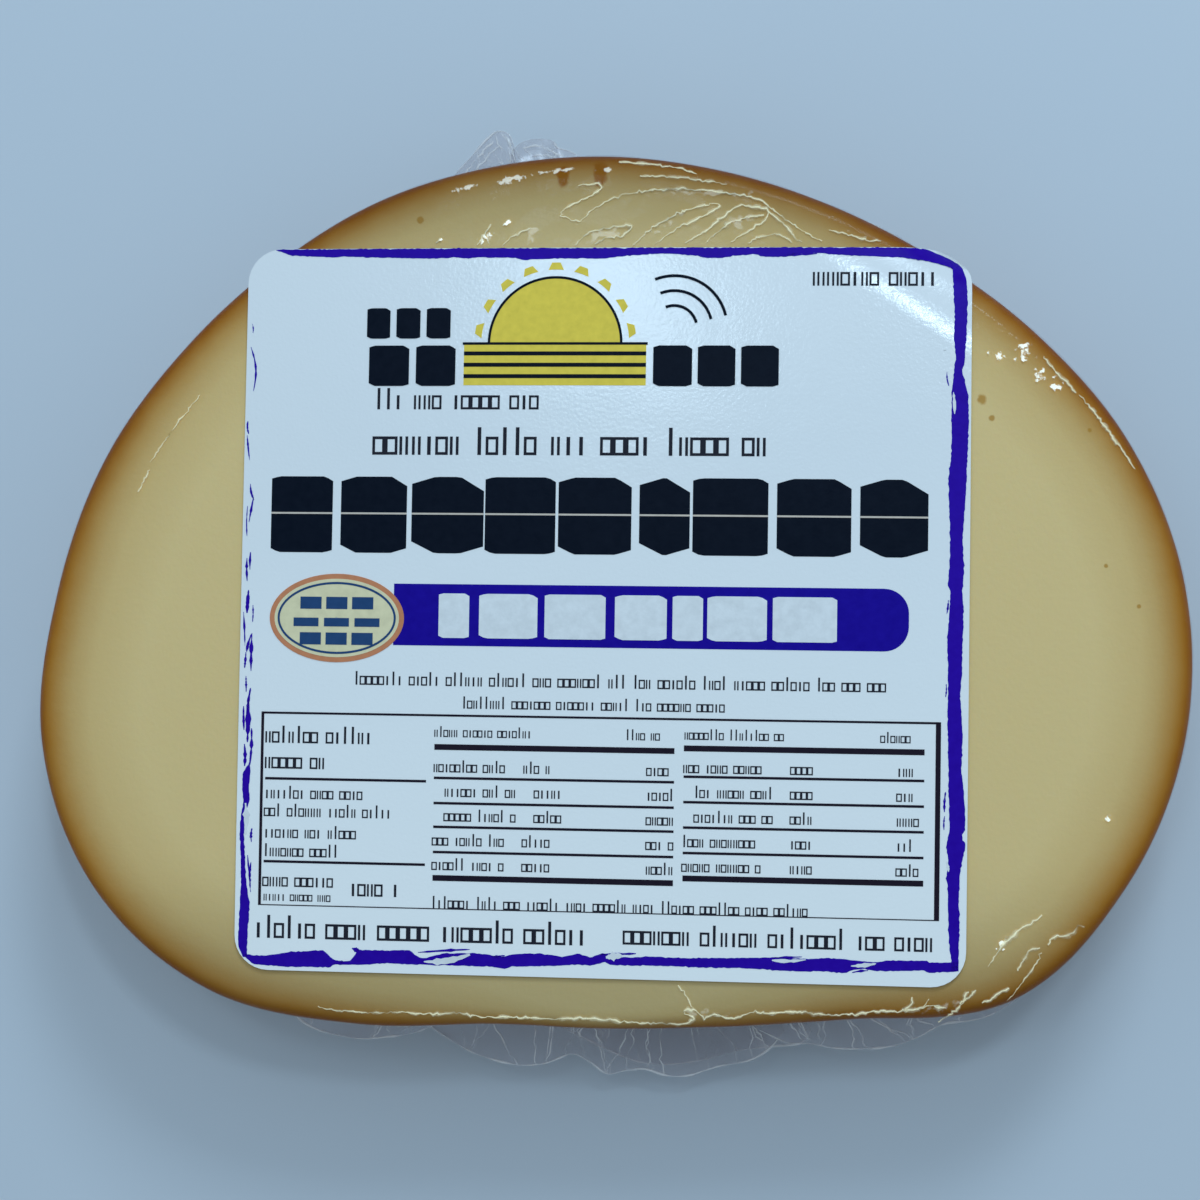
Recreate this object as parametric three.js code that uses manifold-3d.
// A slab of smoked provolone, cut across the loaf and shrink wrapped in clear film, with a square
// paper label stuck on the wrapped upper face.
// Millimetres, +Z up. The origin is the middle of the slab's outline on the face that it rests on,
// +X runs along the slab and -Y is its flatter edge.

import * as THREE from "three";
import { ParametricGeometry } from "three/addons/geometries/ParametricGeometry.js";
import { mergeVertices } from "three/addons/utils/BufferGeometryUtils.js";
import Module from "manifold-3d";

const wasm = await Module();
wasm.setup();

// The slab: how far its side reaches from the middle, at equal steps anticlockwise from +X.
const SIDE_REACH = [
  80.4, 75.8, 70.1, 65.4, 62.6, 61.4, 61.5, 62.4, 64.3, 66.4, 69.8, 74.5,
  78.9, 83.8, 84.4, 79.8, 70.5, 63.0, 61.3, 63.0, 68.8, 80.1, 82.9, 82.9,
];
const THICKNESS = 31.2;
const CROWN = 1.3; // fall of the upper face from its middle to its rim
const SWELL = 0.25; // depth of the soft waves in the upper face
const SWELL_LENGTH = 26;
const SWELL_SHIFT = { x: 0.7, y: -0.4 }; // where the waves start, in radians
const SHOULDER = { ends: 3.2, back: 3.2, front: 2.4 }; // radius between the upper face and the side
const FOOT_RADIUS = 3.6;
const BELLY = 0.5; // how far the side bulges at mid height

// The film's two loose welds, each a crinkled fin that stands out from the side.
const WELD_THICKNESS = 0.9;
const WELD_ROOT = 3; // how deep a fin's root lies in the slab's side
const FRONT_WELD = {
  from: 226,
  to: 318,
  height: 11,
  droop: 3,
  reach: 3.3,
  lobes: [
    { at: 238, reach: 2.2, spread: 5 },
    { at: 259, reach: 4.6, spread: 3 },
    { at: 278, reach: 6.0, spread: 8 },
    { at: 300, reach: 3.2, spread: 6 },
  ],
};
const BACK_WELD = {
  from: 88,
  to: 118,
  height: 13,
  droop: 2,
  reach: 2.2,
  lobes: [
    { at: 103.5, reach: 6.6, spread: 2.6 },
    { at: 98, reach: 4.6, spread: 2.4 },
  ],
};
const CRINKLE = 0.8; // height of the waves along a fin
const CRINKLE_STEP = 7; // degrees from one wave to the next

// The label.
const LABEL_SIDE = 101.6;
const LABEL_CORNER = 4.8;
const LABEL_THICKNESS = 0.3;
const LABEL_GAP = 0.35;
const LABEL_CENTRE = new THREE.Vector2(-0.15, -3.1);
const LABEL_TURN = THREE.MathUtils.degToRad(-0.85);
const CURL = { toward: THREE.MathUtils.degToRad(58.7), start: 61.4, radius: 3.6 }; // one corner bends down

// Numbers of facets.
const AROUND = 96;
const LABEL_CORNER_STEPS = 6;
const LABEL_SIDE_STEPS = 18;

const turn = 2 * Math.PI;

// Distance from the middle to the side, in the direction of an angle in radians: a closed
// Catmull-Rom curve through the listed reaches.
function sideReach(angle) {
  const n = SIDE_REACH.length;
  const place = (THREE.MathUtils.euclideanModulo(angle, turn) / turn) * n;
  const k = Math.floor(place);
  const t = place - k;
  const [p0, p1, p2, p3] = [k - 1, k, k + 1, k + 2].map((i) => SIDE_REACH[(i + n) % n]);
  const a = -p0 + 3 * p1 - 3 * p2 + p3;
  const b = 2 * p0 - 5 * p1 + 4 * p2 - p3;
  return 0.5 * (2 * p1 + (p2 - p0) * t + b * t * t + a * t * t * t);
}

// Height of the upper face: a shallow crown with soft waves.
function faceHeight(x, y) {
  const out = Math.hypot(x, y) / sideReach(Math.atan2(y, x));
  const waveX = Math.sin(x / SWELL_LENGTH + SWELL_SHIFT.x);
  const waveY = Math.cos(y / SWELL_LENGTH + SWELL_SHIFT.y);
  return THICKNESS - CROWN * out * out + SWELL * waveX * waveY;
}

function shoulderRadius(angle) {
  const across = Math.sin(angle);
  const flank = across > 0 ? SHOULDER.back : SHOULDER.front;
  return THREE.MathUtils.lerp(SHOULDER.ends, flank, across * across);
}

// One row of the slab's section at an angle: { out: distance from the middle, z: height }.
// Rows run from the middle of the resting face, round the foot, up the side and over the shoulder,
// to the middle of the upper face.
const FOOT_ROWS = 3;
const SIDE_ROWS = 4;
const SHOULDER_ROWS = 6;
const FACE_ROWS = 7;
const REST_ROWS = 2;
const SLAB_ROWS = REST_ROWS + FOOT_ROWS + SIDE_ROWS + SHOULDER_ROWS + FACE_ROWS;

function slabRow(row, angle) {
  const reach = sideReach(angle);
  const edge = reach - FOOT_RADIUS;
  const radius = shoulderRadius(angle);
  const rim = reach - radius;
  const top = faceHeight(rim * Math.cos(angle), rim * Math.sin(angle));
  let k = row;
  if (k <= REST_ROWS) return { out: (edge * k) / REST_ROWS, z: 0 };
  k -= REST_ROWS;
  if (k <= FOOT_ROWS) {
    const bend = ((k / FOOT_ROWS) * Math.PI) / 2;
    return { out: edge + FOOT_RADIUS * Math.sin(bend), z: FOOT_RADIUS * (1 - Math.cos(bend)) };
  }
  k -= FOOT_ROWS;
  if (k <= SIDE_ROWS) {
    const up = k / SIDE_ROWS;
    const z = THREE.MathUtils.lerp(FOOT_RADIUS, top - radius, up);
    return { out: reach + BELLY * Math.sin(Math.PI * up), z };
  }
  k -= SIDE_ROWS;
  if (k <= SHOULDER_ROWS) {
    const bend = ((k / SHOULDER_ROWS) * Math.PI) / 2;
    return { out: rim + radius * Math.cos(bend), z: top - radius * (1 - Math.sin(bend)) };
  }
  k -= SHOULDER_ROWS;
  const out = rim * (1 - k / FACE_ROWS);
  return { out, z: faceHeight(out * Math.cos(angle), out * Math.sin(angle)) };
}

function slabGeometry() {
  const point = (u, v, target) => {
    const angle = u * turn;
    const { out, z } = slabRow(Math.round(v * SLAB_ROWS), angle);
    target.set(out * Math.cos(angle), out * Math.sin(angle), z);
  };
  return new ParametricGeometry(point, AROUND, SLAB_ROWS);
}

// A fin of welded film along the side between two angles in degrees. Its section is a thin ellipse
// from its root inside the slab to its crinkled outer edge, and both ends run out to a point.
const WELD_SECTION_STEPS = 10;
const WELD_STEP_DEGREES = 1.5;

function weldGeometry({ from, to, height, droop, reach, lobes }) {
  const steps = Math.round((to - from) / WELD_STEP_DEGREES);
  const point = (u, v, target) => {
    const degrees = THREE.MathUtils.lerp(from, to, u);
    const angle = THREE.MathUtils.degToRad(degrees);
    const taper = Math.sqrt(Math.max(0, Math.sin(Math.PI * u)));
    const lobe = lobes.reduce(
      (sum, l) => sum + l.reach * Math.exp(-(((degrees - l.at) / l.spread) ** 2)),
      0,
    );
    const width = (WELD_ROOT + reach + lobe) * taper;
    const along = 0.5 - 0.5 * Math.cos(v * turn);
    const out = sideReach(angle) - WELD_ROOT + along * width;
    const crinkle = CRINKLE * Math.sin((degrees / CRINKLE_STEP) * turn) * along;
    const half = 0.5 * WELD_THICKNESS * taper * Math.sin(v * turn);
    target.set(
      out * Math.cos(angle),
      out * Math.sin(angle),
      height - droop * along * along + crinkle + half,
    );
  };
  return new ParametricGeometry(point, steps, WELD_SECTION_STEPS);
}

// The label's outline in its own plane, about its middle: four arcs and four straight runs.
const LABEL_AROUND = 4 * (LABEL_CORNER_STEPS + LABEL_SIDE_STEPS);

function labelEdge(step) {
  const quarter = LABEL_CORNER_STEPS + LABEL_SIDE_STEPS;
  const side = Math.floor(step / quarter);
  const k = step - side * quarter;
  const middle = LABEL_SIDE / 2 - LABEL_CORNER;
  const edge = new THREE.Vector2();
  if (k <= LABEL_CORNER_STEPS) {
    const bend = ((k / LABEL_CORNER_STEPS) * Math.PI) / 2;
    edge.set(middle + LABEL_CORNER * Math.cos(bend), middle + LABEL_CORNER * Math.sin(bend));
  } else {
    const run = (k - LABEL_CORNER_STEPS) / LABEL_SIDE_STEPS;
    edge.set(middle * (1 - 2 * run), LABEL_SIDE / 2);
  }
  return edge.rotateAround(new THREE.Vector2(), (side * Math.PI) / 2);
}

// Bends a place on the label over the shoulder: past the start of the curl it turns about a rounded
// edge, which draws it back towards the middle. Returns how far it drops.
function curl(place) {
  const away = new THREE.Vector2(Math.cos(CURL.toward), Math.sin(CURL.toward));
  const past = Math.max(0, place.dot(away) - CURL.start);
  const bend = past / CURL.radius;
  place.addScaledVector(away, CURL.radius * Math.sin(bend) - past);
  return CURL.radius * (1 - Math.cos(bend));
}

// Rings from the middle of the label's underside to its edge, and back over its upper side.
const LABEL_RINGS = [0, 0.3, 0.6, 0.8, 0.88, 0.92, 0.96, 1];
const LABEL_ROWS = 2 * LABEL_RINGS.length - 1;

function labelGeometry() {
  const point = (u, v, target) => {
    const row = Math.round(v * LABEL_ROWS);
    const upper = row >= LABEL_RINGS.length;
    const ring = LABEL_RINGS[upper ? LABEL_ROWS - row : row];
    const place = labelEdge(Math.round(u * LABEL_AROUND) % LABEL_AROUND).multiplyScalar(ring);
    place.rotateAround(new THREE.Vector2(), LABEL_TURN).add(LABEL_CENTRE);
    const drop = curl(place);
    const under = faceHeight(place.x, place.y) - drop + LABEL_GAP;
    target.set(place.x, place.y, under + (upper ? LABEL_THICKNESS : 0));
  };
  return new ParametricGeometry(point, LABEL_AROUND, LABEL_ROWS);
}

// A closed surface as a solid, its seam and poles merged and its faces turned outwards.
function solidOf(geometry) {
  const bare = geometry.clone().deleteAttribute("normal").deleteAttribute("uv");
  const merged = mergeVertices(bare, 1e-3);
  const index = merged.index.array;
  const triangles = [];
  for (let i = 0; i < index.length; i += 3) {
    const [a, b, c] = index.slice(i, i + 3);
    if (a !== b && b !== c && c !== a) triangles.push(a, b, c);
  }
  return new wasm.Manifold(
    new wasm.Mesh({
      numProp: 3,
      vertProperties: merged.attributes.position.array,
      triVerts: new Uint32Array(triangles),
    }),
  );
}

function geometryOf(solid) {
  const { vertProperties, triVerts } = solid.getMesh();
  const geometry = new THREE.BufferGeometry();
  geometry.setAttribute("position", new THREE.BufferAttribute(vertProperties, 3));
  geometry.setIndex(new THREE.BufferAttribute(triVerts, 1));
  return geometry;
}

function provoloneInFilm() {
  const welds = [FRONT_WELD, BACK_WELD].map((weld) => solidOf(weldGeometry(weld)));
  const solid = welds.reduce((joined, weld) => joined.add(weld), solidOf(slabGeometry()));
  const material = new THREE.MeshStandardMaterial({ color: 0xe3cb8c, roughness: 0.35, metalness: 0 });
  const mesh = new THREE.Mesh(geometryOf(solid), material);
  mesh.name = "provolone_in_film";
  return mesh;
}

function label() {
  const material = new THREE.MeshStandardMaterial({ color: 0xf4f4f2, roughness: 0.6, metalness: 0 });
  const mesh = new THREE.Mesh(geometryOf(solidOf(labelGeometry())), material);
  mesh.name = "label";
  return mesh;
}

const provolone = new THREE.Group();
provolone.add(provoloneInFilm(), label());

export default provolone;
